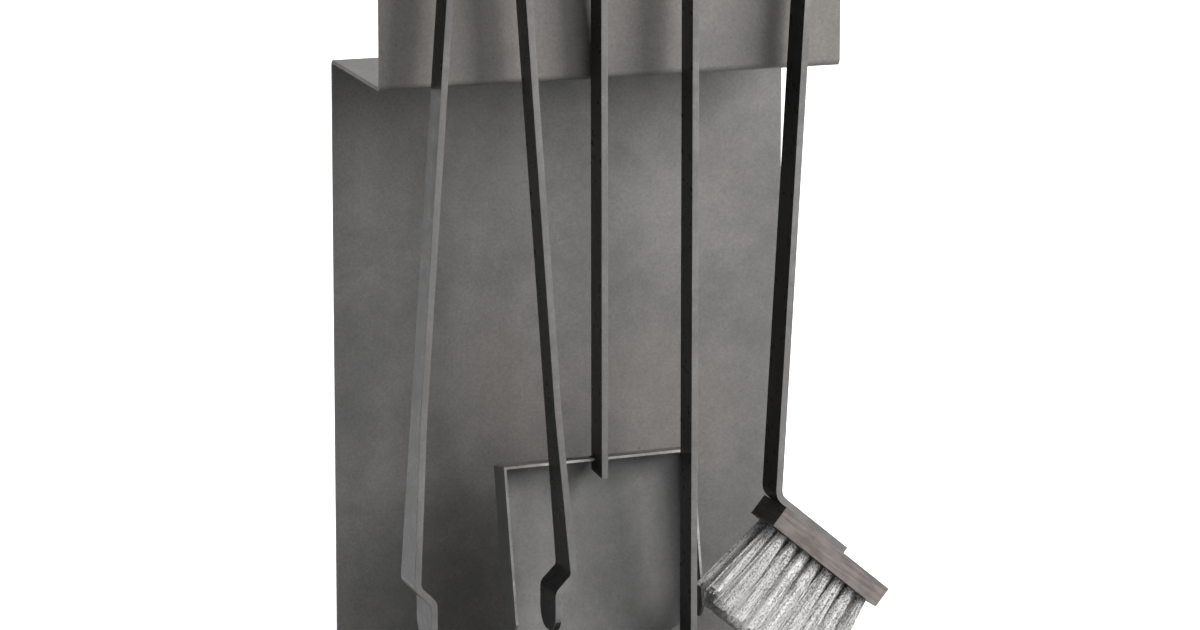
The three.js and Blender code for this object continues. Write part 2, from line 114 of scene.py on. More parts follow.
class Graph:
    """A node tree with short calls for adding and linking nodes."""

    MIX_FACTOR, MIX_FIRST, MIX_SECOND, MIX_RESULT = 0, 6, 7, 2    # the Mix node's sockets for colours

    def __init__(self, tree: bpy.types.NodeTree) -> None:
        """Keeps the tree and empties it.

        Args:
            tree: The node tree of a material or of a node group.
        """
        self.tree = tree
        tree.nodes.clear()

    def add(self, kind: str, inputs: dict | None = None, **settings: object) -> bpy.types.Node:
        """Adds a node.

        Args:
            kind: The node's type name, without the ShaderNode prefix.
            inputs: Values or output sockets for its input sockets, by name or number.
            settings: Values for the node's own properties.

        Returns:
            The new node.
        """
        node = self.tree.nodes.new(kind if kind.startswith("Node") else f"ShaderNode{kind}")
        for name, value in settings.items():
            setattr(node, name, value)
        for name, value in (inputs or {}).items():
            if isinstance(value, bpy.types.NodeSocket):
                self.tree.links.new(value, node.inputs[name])
            else:
                node.inputs[name].default_value = value
        return node

    def math(self, operation: str, a: object, b: object = 0.0,
             clamp: bool = False) -> bpy.types.NodeSocket:
        """Adds a Math node.

        Args:
            operation: The node's operation.
            a: Its first value or socket.
            b: Its second value or socket.
            clamp: Whether the result stays between 0 and 1.

        Returns:
            The node's output.
        """
        node = self.add("Math", {0: a, 1: b}, operation=operation)
        node.use_clamp = clamp
        return node.outputs[0]

    def ramp(self, factor: bpy.types.NodeSocket, low: float, high: float) -> bpy.types.NodeSocket:
        """Spreads a value's stretch from low to high over 0 to 1, smoothly.

        Args:
            factor: The value.
            low: What becomes 0.
            high: What becomes 1.

        Returns:
            The spread value.
        """
        node = self.add("MapRange", {"Value": factor, "From Min": low, "From Max": high},
                        interpolation_type="SMOOTHSTEP")
        return node.outputs["Result"]

    def mix(self, factor: object, a: object, b: object, blend: str = "MIX") -> bpy.types.NodeSocket:
        """Mixes two colours.

        Args:
            factor: The share of the second.
            a: The first colour or socket.
            b: The second colour or socket.
            blend: The way they mix.

        Returns:
            The mixed colour.
        """
        inputs = {self.MIX_FACTOR: factor, self.MIX_FIRST: a, self.MIX_SECOND: b}
        node = self.add("Mix", inputs, data_type="RGBA", blend_type=blend)
        return node.outputs[self.MIX_RESULT]

    def noise(self, vector: bpy.types.NodeSocket, scale: object, detail: float = 4.0,
              roughness: float = 0.55) -> bpy.types.NodeSocket:
        """Adds a Noise Texture.

        Args:
            vector: Where it is read.
            scale: Its scale, or a socket that gives it.
            detail: Its octaves.
            roughness: How strong the finer octaves are.

        Returns:
            The noise value, around 0.5.
        """
        node = self.add("TexNoise", {"Vector": vector, "Scale": scale, "Detail": detail,
                                     "Roughness": roughness})
        return node.outputs["Fac"]

    def shares(self, a: object, share: float, b: object, rest: float) -> bpy.types.NodeSocket:
        """Adds two values, each with its own share.

        Args:
            a: The first value or socket.
            share: What the first is multiplied by.
            b: The second value or socket.
            rest: What the second is multiplied by.

        Returns:
            The sum.
        """
        return self.math("ADD", self.math("MULTIPLY", a, share), self.math("MULTIPLY", b, rest))

    def about_zero(self, value: bpy.types.NodeSocket, strength: object) -> bpy.types.NodeSocket:
        """Moves a value that lies around 0.5 to lie around 0.

        Args:
            value: The value.
            strength: What the moved value is multiplied by.

        Returns:
            The moved value.
        """
        return self.math("MULTIPLY", self.math("SUBTRACT", value, 0.5), strength)


def node_group(name: str, inputs: dict[str, object]) -> tuple[bpy.types.NodeTree, Graph]:
    """Makes an empty shader node group with named inputs, and outputs for colour, roughness and height.

    Args:
        name: The group's name.
        inputs: Input names with their default values; a tuple is a colour and a number a value.

    Returns:
        The group and the graph to fill it with.
    """
    tree = bpy.data.node_groups.new(name, "ShaderNodeTree")
    for title, value in inputs.items():
        kind = "NodeSocketColor" if isinstance(value, tuple) else "NodeSocketFloat"
        socket = tree.interface.new_socket(title, in_out="INPUT", socket_type=kind)
        socket.default_value = value
    tree.interface.new_socket("Color", in_out="OUTPUT", socket_type="NodeSocketColor")
    for title in ("Roughness", "Height"):
        tree.interface.new_socket(title, in_out="OUTPUT", socket_type="NodeSocketFloat")
    return tree, Graph(tree)


def mill_scale_group() -> bpy.types.NodeTree:
    """Builds the look of hot-rolled steel under clear oil: cloudy scale, a warm tint, fine grain and specks.

    Returns:
        A group that gives a colour, a roughness and a height.
    """
    blotch_scale, tint_scale = 5.3, 0.45        # to the clouds' scale
    fine_scale, speck_scale = 3.1, 0.7          # to the grain's scale
    tint_share, speck_share, speck_depth = 0.5, 0.3, -0.2
    tree, graph = node_group("mill_scale", {
        "Dark": grey(80), "Light": grey(130), "Tint": grey(120, 5), "Speck": grey(40), "Cloud Scale": 9.0,
        "Grain Scale": 420.0, "Grain": 0.35, "Roughness": 0.5, "Roughness Spread": 0.12})
    given = graph.add("NodeGroupInput").outputs
    place = graph.add("TexCoord").outputs["Object"]

    def pattern(scale: str, times: float, detail: float, roughness: float) -> bpy.types.NodeSocket:
        """Adds a noise at one of the group's scales, multiplied."""
        return graph.noise(place, graph.math("MULTIPLY", given[scale], times), detail, roughness)

    clouds = graph.noise(place, given["Cloud Scale"], detail=5.0, roughness=0.6)
    blotches = pattern("Cloud Scale", blotch_scale, detail=3.0, roughness=0.6)
    grain = graph.noise(place, given["Grain Scale"], detail=2.0, roughness=0.7)
    fine = pattern("Grain Scale", fine_scale, detail=1.0, roughness=0.5)
    tint = pattern("Cloud Scale", tint_scale, detail=2.0, roughness=0.5)
    mottle = graph.shares(clouds, 0.62, blotches, 0.38)
    base = graph.mix(graph.ramp(mottle, 0.34, 0.66), given["Dark"], given["Light"])
    tinted = graph.mix(graph.math("MULTIPLY", graph.ramp(tint, 0.42, 0.62), tint_share), base, given["Tint"])
    both = graph.shares(grain, 0.6, fine, 0.4)
    swing = graph.about_zero(both, given["Grain"])
    level = graph.math("ADD", graph.math("MULTIPLY", swing, 2.0), 1.0)
    shade = graph.add("CombineColor", {0: level, 1: level, 2: level}).outputs[0]
    grained = graph.mix(1.0, tinted, shade, "MULTIPLY")
    specks = graph.ramp(pattern("Grain Scale", speck_scale, detail=2.0, roughness=0.6), 0.68, 0.8)
    colour = graph.mix(graph.math("MULTIPLY", specks, speck_share), grained, given["Speck"])
    spread = graph.about_zero(blotches, given["Roughness Spread"])
    rough = graph.math("ADD", given["Roughness"], graph.math("MULTIPLY", spread, 2.0), clamp=True)
    height = graph.shares(both, 0.7, specks, speck_depth)
    graph.add("NodeGroupOutput", {"Color": colour, "Roughness": rough, "Height": height})
    return tree


def wood_grain_group() -> bpy.types.NodeTree:
    """Builds oiled hardwood with long streaks, pores and a few pale scratches, the grain along the U axis.

    Returns:
        A group that gives a colour, a roughness and a height.
    """
    pore_share, scratch_share, pore_roughness = 0.5, 0.55, 0.12
    cut_slant = 0.5
    tree, graph = node_group("wood_grain", {
        "Dark": grey(70), "Light": grey(130), "Scratch": grey(180), "Roughness": 0.6})
    given = graph.add("NodeGroupInput").outputs
    place = graph.add("UVMap", uv_map="along").outputs["UV"]

    def stretched(along: float, across: float, slant: float = 0.0) -> bpy.types.NodeSocket:
        """Gives the place, stretched along the grain: its scale along and across, and its turn."""
        node = graph.add("Mapping", {"Vector": place, "Scale": (along, across, 1.0),
                                     "Rotation": (0, 0, slant)})
        return node.outputs[0]

    cloud = graph.noise(place, 55.0, detail=3.0)
    streak = graph.noise(stretched(28.0, 420.0), 1.0, detail=4.0, roughness=0.6)
    pore = graph.noise(stretched(160.0, 2100.0), 1.0, detail=2.0, roughness=0.6)
    cut = graph.noise(stretched(90.0, 900.0, cut_slant), 1.0, detail=1.0)
    base = graph.mix(graph.ramp(graph.shares(streak, 0.6, cloud, 0.4), 0.36, 0.64), given["Dark"],
                     given["Light"])
    dark_pores = graph.ramp(pore, 0.62, 0.74)
    pored = graph.mix(graph.math("MULTIPLY", dark_pores, pore_share), base, given["Dark"])
    scratch = graph.math("MULTIPLY", graph.ramp(cut, 0.66, 0.74), graph.ramp(cloud, 0.5, 0.62))
    colour = graph.mix(graph.math("MULTIPLY", scratch, scratch_share), pored, given["Scratch"])
    pored_rough = graph.math("MULTIPLY", dark_pores, pore_roughness)
    rough = graph.math("ADD", given["Roughness"], pored_rough, clamp=True)
    height = graph.shares(streak, 0.5, dark_pores, -0.8)
    graph.add("NodeGroupOutput", {"Color": colour, "Roughness": rough, "Height": height})
    return tree


GROUP_MAKERS = {"mill_scale": mill_scale_group, "wood_grain": wood_grain_group}


def shared_group(name: str) -> bpy.types.NodeTree:
    """Gives a node group that several materials use, made at its first use."""
    return bpy.data.node_groups.get(name) or GROUP_MAKERS[name]()


# ---------------------------------------------------------------- finishes

@dataclass(frozen=True)
class Finish:
    """A material that is made at its first use. Each kind of finish builds its own shader."""

    name: str

    def material(self) -> bpy.types.Material:
        """Gives the material, and makes it if it isn't there yet.

        Returns:
            The material of this finish.
        """
        known = bpy.data.materials.get(self.name)
        if known:
            return known
        material = bpy.data.materials.new(self.name)
        material.use_nodes = True
        graph = Graph(material.node_tree)
        graph.add("OutputMaterial", {"Surface": self.shader(graph).outputs[0]})
        return material

    def shader(self, graph: Graph) -> bpy.types.Node:
        """Builds the shader; each kind of finish has its own."""
        raise NotImplementedError


@dataclass(frozen=True)
class SteelFinish(Finish):
    """Steel with mill scale, from raw plate to turned screws."""

    dark: Colour
    light: Colour
    tint: Colour
    speck: Colour = grey(34)
    cloud_scale: float = 9.0
    grain_scale: float = 420.0
    grain: float = 0.35
    roughness: float = 0.5
    roughness_spread: float = 0.12
    metallic: float = 0.5
    specular: float = 0.4
    bump: float = 0.25
    bump_distance: float = 0.00008

    def shader(self, graph: Graph) -> bpy.types.Node:
        """Builds the shader.

        Args:
            graph: The material's graph.

        Returns:
            The shader's node.
        """
        surface = surface_group(graph, "mill_scale", {
            "Dark": self.dark, "Light": self.light, "Tint": self.tint, "Speck": self.speck,
            "Cloud Scale": self.cloud_scale, "Grain Scale": self.grain_scale, "Grain": self.grain,
            "Roughness": self.roughness, "Roughness Spread": self.roughness_spread,
        }, self.bump, self.bump_distance)
        return graph.add("BsdfPrincipled", {
            **surface, "Metallic": self.metallic, "Specular IOR Level": self.specular})


@dataclass(frozen=True)
class WoodFinish(Finish):
    """Dark stained hardwood."""

    dark: Colour
    light: Colour
    scratch: Colour
    roughness: float = 0.6
    specular: float = 0.3
    bump: float = 0.4
    bump_distance: float = 0.0002

    def shader(self, graph: Graph) -> bpy.types.Node:
        """Builds the shader.

        Args:
            graph: The material's graph.

        Returns:
            The shader's node.
        """
        surface = surface_group(graph, "wood_grain", {
            "Dark": self.dark, "Light": self.light, "Scratch": self.scratch, "Roughness": self.roughness,
        }, self.bump, self.bump_distance)
        return graph.add("BsdfPrincipled", {**surface, "Specular IOR Level": self.specular})


@dataclass(frozen=True)
class BristleFinish(Finish):
    """Split bristles, from dark to near white, one shade to each strand and paler towards the tips."""

    dark: Colour
    light: Colour
    fleck_scale: float = 900.0
    strand_share: float = 0.55
    fleck_share: float = 0.5

    def shader(self, graph: Graph) -> bpy.types.Node:
        """Builds the shader.

        Args:
            graph: The material's graph.

        Returns:
            The shader's node.
        """
        strand = graph.add("Attribute", attribute_name="strand", attribute_type="GEOMETRY").outputs["Fac"]
        place = graph.add("TexCoord").outputs["Object"]
        flecks = graph.ramp(graph.noise(place, self.fleck_scale, detail=1.0, roughness=0.5), 0.4, 0.56)
        share = graph.shares(strand, self.strand_share, flecks, self.fleck_share)
        colour = graph.mix(graph.ramp(share, 0.2, 0.7), self.dark, self.light)
        return graph.add("BsdfPrincipled", {"Base Color": colour, "Roughness": 0.55,
                                            "Specular IOR Level": 0.5})


@dataclass(frozen=True)
class FloorFinish(Finish):
    """A pale floor that gives off light of its own, so that it looks evenly white."""

    colour: Colour = (0.93, 0.93, 0.93, 1.0)
    glow: Colour = (1.0, 1.0, 1.0, 1.0)
    glow_strength: float = 1.0

    def shader(self, graph: Graph) -> bpy.types.Node:
        """Builds the shader.

        Args:
            graph: The material's graph.

        Returns:
            The shader's node.
        """
        return graph.add("BsdfPrincipled", {
            "Base Color": self.colour, "Roughness": 0.9, "Specular IOR Level": 0.1,
            "Emission Color": self.glow, "Emission Strength": self.glow_strength})


def surface_group(graph: Graph, name: str, values: dict[str, object], bump: float,
                  distance: float) -> dict[str, bpy.types.NodeSocket]:
    """Puts a shared group with its own values into a material.

    Args:
        graph: The material's graph.
        name: The group's name.
        values: Values for the group's inputs.
        bump: The strength of its bump.
        distance: The height of its bump, in metres.

    Returns:
        The sockets for a shader's colour, roughness and normal.
    """
    group = graph.add("Group", node_tree=shared_group(name))
    for title, value in values.items():
        group.inputs[title].default_value = value
    relief = graph.add("Bump", {"Strength": bump, "Distance": distance, "Height": group.outputs["Height"]})
    return {"Base Color": group.outputs["Color"], "Roughness": group.outputs["Roughness"],
            "Normal": relief.outputs[0]}


PLATE = SteelFinish("raw_plate", dark=grey(112), light=grey(130, 1), tint=grey(124, 5, 1), metallic=0.1,
                    specular=0.15, grain=0.4)
PAN_PLATE = SteelFinish("pan_plate", dark=grey(116), light=grey(134), tint=grey(126), cloud_scale=14.0,
                        metallic=0.05, specular=0.12)
# The bars' one mill scale in two copies: the darker paints shade on their side faces, the lighter paints
# light on their narrow faces and rounded edges.
BAR = SteelFinish("bar_scale_painted_shade", dark=grey(50), light=grey(72), tint=grey(60, 2), speck=grey(54),
                  cloud_scale=16.0, grain_scale=520.0, roughness=0.3, metallic=0.0, specular=0.09, bump=0.1)
BAR_PAINTED_LIGHT = SteelFinish("bar_scale_painted_light", dark=grey(108), light=grey(134), tint=grey(122, 2), speck=grey(90),
                       cloud_scale=20.0, grain_scale=520.0, roughness=0.4, metallic=0.0, specular=0.25)
# Lighter sheet for the pan's cut faces and rounded edges: partly bare cut steel, partly a painted highlight.
CUT_STEEL_AND_HIGHLIGHT = SteelFinish("cut_steel_and_painted_highlight", dark=grey(118, 1), light=grey(168, 1), tint=grey(140, 2), speck=grey(70),
                       cloud_scale=60.0, roughness=0.42, metallic=0.3, bump=0.3)
TURNED = SteelFinish("turned_steel", dark=grey(96), light=grey(150), tint=grey(120, 3), cloud_scale=40.0,
                     roughness=0.34, metallic=0.85)
WELD = SteelFinish("weld", dark=grey(70, 3), light=grey(120, 4), tint=grey(90, 10), cloud_scale=90.0,
                   roughness=0.42, metallic=0.5)
OILED_WOOD = WoodFinish("oiled_wood", dark=grey(100, 5, -2), light=grey(140, 5, -2), scratch=grey(188, 4))
# Darker wood for the block's end faces and rounded edges: partly end grain's own tone, partly painted shade.
END_GRAIN_AND_SHADE = WoodFinish("end_grain_and_painted_shade", dark=grey(52, 3, -3), light=grey(84, 3, -3), scratch=grey(110, 4))
SPLIT_BRISTLE = BristleFinish("split_bristle", dark=grey(96), light=grey(WHITE_LEVEL))
PALE_FLOOR = FloorFinish("pale_floor")


# ---------------------------------------------------------------- mesh helpers

def deselect_all() -> None:
    """Leaves edit mode, if it is on, and deselects every object."""
    if bpy.context.object and bpy.context.object.mode != "OBJECT":
        bpy.ops.object.mode_set(mode="OBJECT")
    bpy.ops.object.select_all(action="DESELECT")


def make_active(piece: bpy.types.Object) -> None:
    """Selects one object alone and makes it the active one."""
    deselect_all()
    piece.select_set(True)
    bpy.context.view_layer.objects.active = piece


def apply_modifier(piece: bpy.types.Object, kind: str, **settings: object) -> None:
    """Adds a modifier to a piece and applies it.

    Args:
        piece: The piece.
        kind: The modifier's type.
        settings: Values for its properties.
    """
    make_active(piece)
    modifier = piece.modifiers.new(kind.lower(), kind)
    for name, value in settings.items():
        setattr(modifier, name, value)
    bpy.ops.object.modifier_apply(modifier=modifier.name)


def smooth(piece: bpy.types.Object, degrees: float = 32.0) -> None:
    """Shades a piece smooth across all edges flatter than the angle."""
    make_active(piece)
    bpy.ops.object.shade_smooth_by_angle(angle=math.radians(degrees))


def add_object(name: str, mesh: bpy.types.Mesh) -> bpy.types.Object:
    """Makes a mesh an object in the scene."""
    piece = bpy.data.objects.new(name, mesh)
    bpy.context.scene.collection.objects.link(piece)
    return piece


def join(pieces: list[bpy.types.Object]) -> bpy.types.Object:
    """Joins objects into the first of them.

    Args:
        pieces: The objects.

    Returns:
        The joined object, which is the active one.
    """
    make_active(pieces[0])
    for piece in pieces:
        piece.select_set(True)
    if len(pieces) > 1:
        bpy.ops.object.join()
    return pieces[0]


def frame_copy(name: str, *nodes: str) -> bpy.types.Object:
    """Copies frame nodes into one new object with merged vertices and whole flat faces.

    Args:
        name: The new piece's name.
        nodes: The nodes it is copied from.

    Returns:
        The new piece.
    """
    piece = join([add_object(f"{name}_{node}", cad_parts[node].data.copy()) for node in nodes])
    piece.name = name
    piece.data.name = name
    piece.data.materials.clear()
    bpy.ops.object.mode_set(mode="EDIT")
    bpy.ops.mesh.select_all(action="SELECT")
    bpy.ops.mesh.remove_doubles(threshold=MERGE_WITHIN)
    bpy.ops.mesh.dissolve_limited(angle_limit=FLAT_WITHIN)
    bpy.ops.object.mode_set(mode="OBJECT")
    return piece


def round_edges(piece: bpy.types.Object, width: float, segments: int = 2, degrees: float = 28.0) -> None:
    """Rounds a piece's sharp edges; the rounding gets the second material, on bars and pan a painted
    highlight.

    Args:
        piece: The piece.
        width: How far each rounding reaches from its edge.
        segments: Faces across each rounding.
        degrees: Edges flatter than this stay as they are.
    """
    apply_modifier(piece, "BEVEL", width=width, segments=segments, limit_method="ANGLE",
                   angle_limit=math.radians(degrees), harden_normals=False, use_clamp_overlap=True,
                   miter_outer="MITER_ARC", material=min(1, len(piece.data.materials) - 1))
    smooth(piece)
    apply_modifier(piece, "WEIGHTED_NORMAL", mode="FACE_AREA", weight=100, keep_sharp=True)


def dress(piece: bpy.types.Object, *finishes: Finish) -> None:
    """Gives a piece its materials, in order."""
    piece.data.materials.clear()
    for finish in finishes:
        piece.data.materials.append(finish.material())


def mark_cut_edges(piece: bpy.types.Object, thickness: float) -> None:
    """Gives a sheet's narrow cut faces its second material, lighter: partly bare cut steel, partly painted
    highlight.

    Args:
        piece: A piece made of sheet.
        thickness: The sheet's thickness.
    """
    widest = 1.06 * thickness        # a cut face is one thickness wide
    mesh = piece.data
    for face in mesh.polygons:
        ring = [mesh.vertices[index].co for index in face.vertices]
        around = sum((ring[i] - ring[i - 1]).length for i in range(len(ring)))
        if face.area / (around / 2) < widest:
            face.material_index = 1


def mark_narrow_faces(bar: bpy.types.Object) -> None:
    """Gives a flat bar's narrow faces, which look forwards and back, its second material: painted light."""
    for face in bar.data.polygons:
        face.material_index = int(abs(face.normal.y) > SAME_WAY)


def settle(piece: bpy.types.Object, body: str, slot: Slot, *nodes: str) -> None:
    """Says what a finished piece rides on and the nodes it stands for.

    Args:
        piece: The finished piece.
        body: The body it moves with.
        slot: Its material slot; not used.
        nodes: The frame nodes that it replaces.
    """
    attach(piece, body)
    if nodes:
        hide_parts(*nodes)
    LOG.info("%s: %d faces, on %s", piece.name, len(piece.data.polygons), body)


def middle(node: str) -> Vector:
    """Gives the middle of a frame node's box."""
    low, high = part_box(node)
    return (low + high) / 2


def spans_of(mesh: bpy.types.Mesh) -> list[Vector]:
    """Gives each edge of a mesh as the vector from its first end to its second."""
    return [mesh.vertices[edge.vertices[1]].co - mesh.vertices[edge.vertices[0]].co for edge in mesh.edges]


@dataclass
class WeldBead:
    """A short bead of weld: overlapping flattened drops along a line.

    The flatness and the spacing are shares of the drops' radius. The drops' widths rise and fall along the
    bead by the unevenness, which the wave moves on from drop to drop.
    """

    name: str
    body: str
    radius: float = 1.2 * MM
    flatness: float = 0.8
    spacing: float = 0.8
    unevenness: float = 0.12
    wave: float = 2.1

    def build(self, start: Vector, end: Vector) -> None:
        """Makes the bead.

        Args:
            start: One end of its line.
            end: The other end.
        """
        count = max(2, round((end - start).length / (self.radius * self.spacing)))
        drops = []
        for step in range(count + 1):
            deselect_all()
            place = start.lerp(end, step / count)
            bpy.ops.mesh.primitive_uv_sphere_add(segments=12, ring_count=8, radius=self.radius,
                                                 location=place)
            drop = bpy.context.object
            drop.scale = (1.0 + self.unevenness * math.sin(step * self.wave), 1.0, self.flatness)
            drops.append(drop)
        bead = join(drops)
        bpy.ops.object.transform_apply(location=True, rotation=True, scale=True)
        bead.name = self.name
        dress(bead, WELD)
        smooth(bead, 180)
        settle(bead, self.body, Slot.BAR)


# ---------------------------------------------------------------- stand

@dataclass
class Stand:
    """The folded sheet, with each peg's screw, washer, nut and turning spool."""

    edge: float = 0.45 * MM
    fastener_edge: float = 0.3 * MM
    spool_edge: float = 0.4 * MM

    def build(self) -> None:
        """Makes the sheet and the pegs."""
        sheet = frame_copy("stand_folded_sheet", "stand_sheet")
        dress(sheet, PLATE)
        round_edges(sheet, self.edge)
        settle(sheet, "stand", Slot.SHEET, "stand_sheet")
        for tool in TOOLS:
            for part in ("peg_screw", "washer", "nut"):
                node = f"{tool}_{part}"
                piece = frame_copy(f"{node}_turned", node)
                dress(piece, TURNED)
                round_edges(piece, self.fastener_edge)
                settle(piece, "stand", Slot.FASTENER, node)
            spool = frame_copy(f"{tool}_spool_turned", f"{tool}_spool")
            # The spool takes the bars' darker copy, the one that paints shade on their side faces.
            dress(spool, BAR, TURNED)
            round_edges(spool, self.spool_edge)
            settle(spool, f"{tool}_roller", Slot.BAR, f"{tool}_spool")


# ---------------------------------------------------------------- bent bars

@dataclass
class BentBar:
    """A tool's flat bar, with its long edges rounded as rolled bar has them."""

    name: str
    node: str
    body: str
    edge: float = 0.5 * MM

    def build(self) -> None:
        """Makes the bar."""
        bar = frame_copy(self.name, self.node)
        # Darker copy on the side faces, painted shade; lighter copy on the narrow faces and rounded edges,
        # painted light.
        dress(bar, BAR, BAR_PAINTED_LIGHT)
        mark_narrow_faces(bar)
        round_edges(bar, self.edge)
        settle(bar, self.body, Slot.BAR, self.node)


@dataclass
class Tongs:
    """The tongs: one bent bar that flexes at the ends of its bow, made as two halves that meet at its top.
    """

    edge: float = 0.5 * MM
    flex: float = 9 * MM
    joint_reach: float = 16 * MM
    joint_depth: float = 3 * MM

    def build(self) -> None:
        """Makes both halves."""
        for side, direction in (("left", -1.0), ("right", 1.0)):
            self.half(side, direction)

    def half(self, side: str, direction: float) -> None:
        """Makes one half from its arm and its side of the bow.

        Args:
            side: The arm's name.
            direction: -1 for the left one and 1 for the right one.
        """
        arm = f"tongs_{side}_arm"
        piece = frame_copy(f"tongs_{side}_half", "tongs_bow", arm)
        crown = middle("tongs_bow").x
        bpy.ops.object.mode_set(mode="EDIT")
        bpy.ops.mesh.select_all(action="SELECT")
        bpy.ops.mesh.bisect(plane_co=(crown, 0, 0), plane_no=(direction, 0, 0), clear_inner=True,
                            use_fill=True)
        bpy.ops.object.mode_set(mode="OBJECT")
        self.close_shoulder(piece, direction)
        # Darker copy on the side faces, painted shade; lighter copy on the narrow faces and rounded edges,
        # painted light.
        dress(piece, BAR, BAR_PAINTED_LIGHT)
        mark_narrow_faces(piece)
        round_edges(piece, self.edge)
        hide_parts(arm, *(["tongs_bow"] if side == "left" else []))
        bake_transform(piece)
        LOG.info("%s: %d faces, bends from tongs to tongs_%s", piece.name, len(piece.data.polygons), side)

    def shoulder(self, side: str) -> Vector:
        """Gives the point where one arm meets the bow."""
        low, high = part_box("tongs_bow")
        x = high.x if side == "right" else low.x
        return Vector((x, (low.y + high.y) / 2, low.z))

    def close_shoulder(self, piece: bpy.types.Object, direction: float) -> None:
        """Replaces the two end faces at the shoulder's gap with walls that bridge the gap.

        Args:
            piece: The half.
            direction: The side that it is on.
        """
        shoulder = self.shoulder("right" if direction > 0 else "left")
        mesh = piece.data
        for face in mesh.polygons:
            near = (face.center - shoulder).length < self.joint_reach
            deep = abs(face.center.z - shoulder.z) < self.joint_depth
            face.select = near and deep and abs(face.normal.z) > SAME_WAY
        for edge in mesh.edges:
            edge.select = False
        make_active(piece)
        bpy.ops.object.mode_set(mode="EDIT")
        bpy.ops.mesh.select_mode(type="FACE")
        bpy.ops.mesh.bridge_edge_loops()
        bpy.ops.object.mode_set(mode="OBJECT")


# ---------------------------------------------------------------- shovel

@dataclass
class Shovel:
    """The shovel: its handle, its folded pan and the weld between them."""

    sheet: float = 2 * MM
    slot_reach: float = 6 * MM
    edge: float = 0.3 * MM

    def build(self) -> None:
        """Makes the handle, the pan and the weld."""
        BentBar("shovel_handle_bar", "shovel_handle", "shovel").build()
        pan = frame_copy("shovel_folded_pan", "shovel_pan")
        # The pan's cut faces and rounded edges are lighter: partly bare cut steel, partly a painted
        # highlight.
        dress(pan, PAN_PLATE, CUT_STEEL_AND_HIGHLIGHT)
        mark_cut_edges(pan, self.sheet)
        round_edges(pan, self.edge)
        settle(pan, "shovel", Slot.SHEET, "shovel_pan")
        self.weld()

    def weld(self) -> None:
        """Welds the handle to both sides of the slot in the pan's back wall."""
        sideways = 0.1
        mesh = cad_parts["shovel_pan"].data
        upright = [span for span in spans_of(mesh) if abs(span.x) < sideways * span.length]
        up = max(upright, key=lambda span: span.length)
        up = up.normalized() * math.copysign(1, up.z)
        centre = middle("shovel_pan").x
        corners = [vertex.co.copy() for vertex in mesh.vertices
                   if abs(vertex.co.x - centre) < self.slot_reach]
        top = max(corner.dot(up) for corner in corners)
        for side, direction in (("left", -1), ("right", 1)):
            line = [corner for corner in corners
                    if (corner.x - centre) * direction > 0 and corner.dot(up) > top - self.sheet / 2]
            line.sort(key=lambda corner: corner.y)
            WeldBead(f"shovel_weld_{side}", "shovel").build(line[0], line[-1])


# ---------------------------------------------------------------- poker

@dataclass
class Poker:
    """The poker: its bar, its barb and the weld between them."""

    root_depth: float = 1 * MM
    bead_radius: float = 1.3 * MM

    def build(self) -> None:
        """Makes the bar, the barb and the weld's two beads."""
        BentBar("poker_long_bar", "poker_bar", "poker").build()
        BentBar("poker_bent_barb", "poker_barb", "poker").build()
        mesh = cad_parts["poker_barb"].data
        right = max(vertex.co.x for vertex in mesh.vertices)
        root = [vertex.co.copy() for vertex in mesh.vertices if vertex.co.x > right - self.root_depth]
        levels = {"lower": min(corner.z for corner in root), "upper": max(corner.z for corner in root)}
        for side, level in levels.items():
            line = [corner for corner in root if abs(corner.z - level) < self.root_depth]
            line.sort(key=lambda corner: corner.y)
            WeldBead(f"poker_weld_{side}", "poker", self.bead_radius).build(line[0], line[-1])


# ---------------------------------------------------------------- brush

